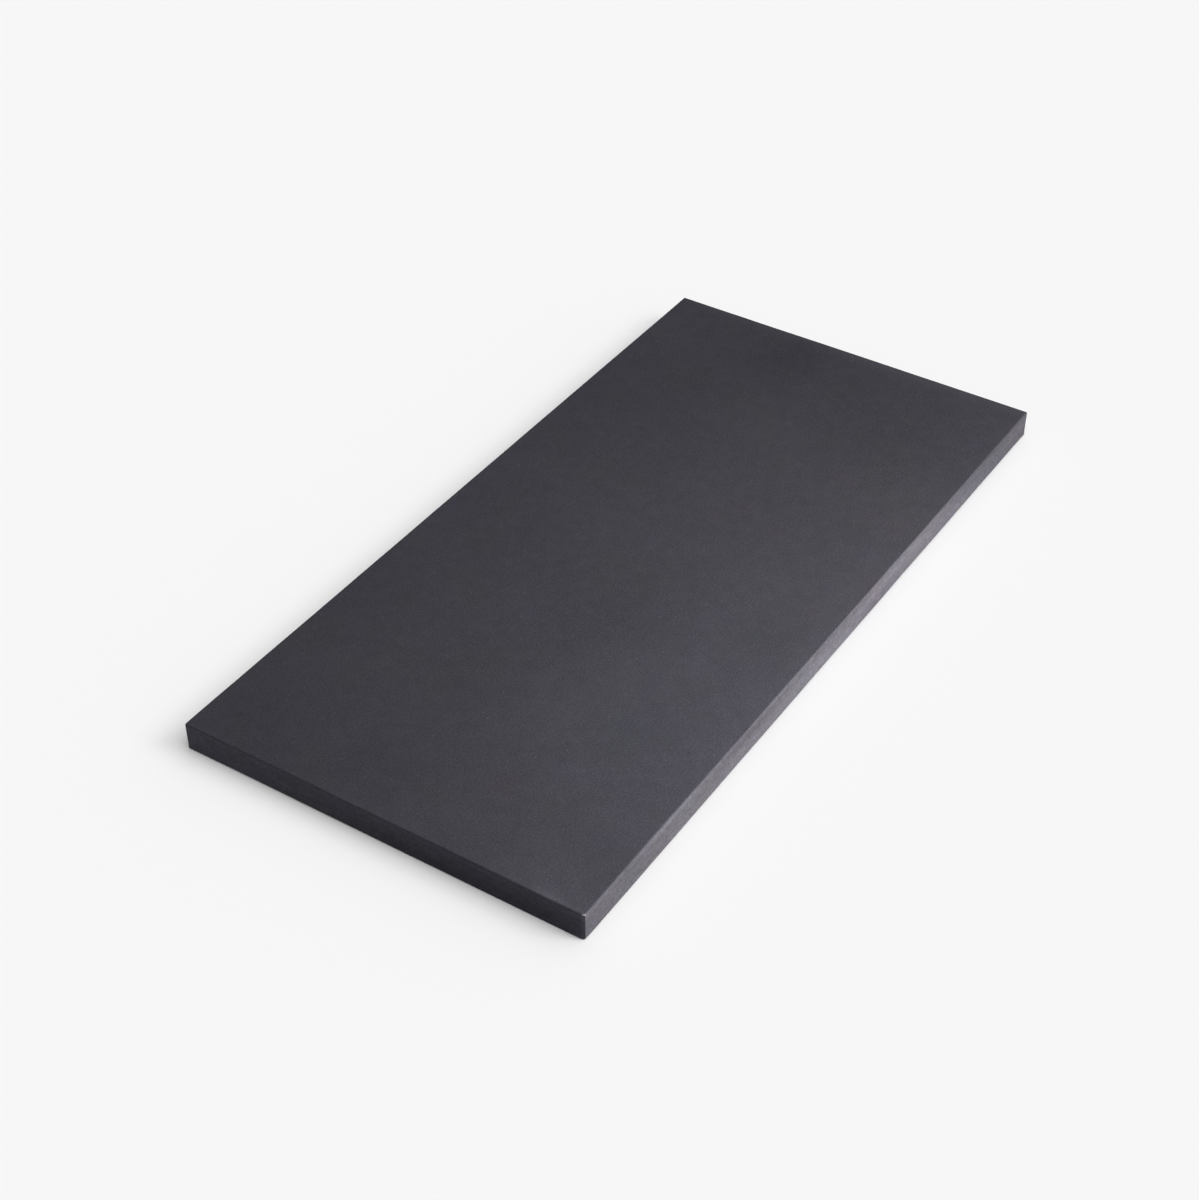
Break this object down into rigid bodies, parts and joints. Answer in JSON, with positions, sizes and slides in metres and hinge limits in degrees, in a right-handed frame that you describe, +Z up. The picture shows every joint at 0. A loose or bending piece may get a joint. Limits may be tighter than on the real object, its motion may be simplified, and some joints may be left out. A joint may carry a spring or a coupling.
{
  "type": "cutting board",
  "caption": "Plain black rubber cutting board, a flat rectangular slab usable on either face, with rubber faces and edge strips bonded round a plywood core.",
  "frame": {"origin": "centre of the underside, on the surface that the board lies on", "axes": "+X along the long side, +Y along the short side, +Z up through the thickness"},
  "size_m": [0.444, 0.22, 0.0153],
  "materials": {
    "face_rubber": "matte, finely sanded",
    "edge_rubber": "matte, sawn and lightly sanded",
    "core_veneer": "bare rotary-cut veneer"
  },
  "bodies": {
    "root": {"top_rubber_sheet": "face_rubber", "bottom_rubber_sheet": "face_rubber", "front_edge_strip": "edge_rubber", "back_edge_strip": "edge_rubber", "left_edge_strip": "edge_rubber", "right_edge_strip": "edge_rubber", "core_veneer_1": "core_veneer", "core_veneer_2": "core_veneer", "core_veneer_3": "core_veneer", "core_veneer_4": "core_veneer", "core_veneer_5": "core_veneer"}
  },
  "joints": []
}
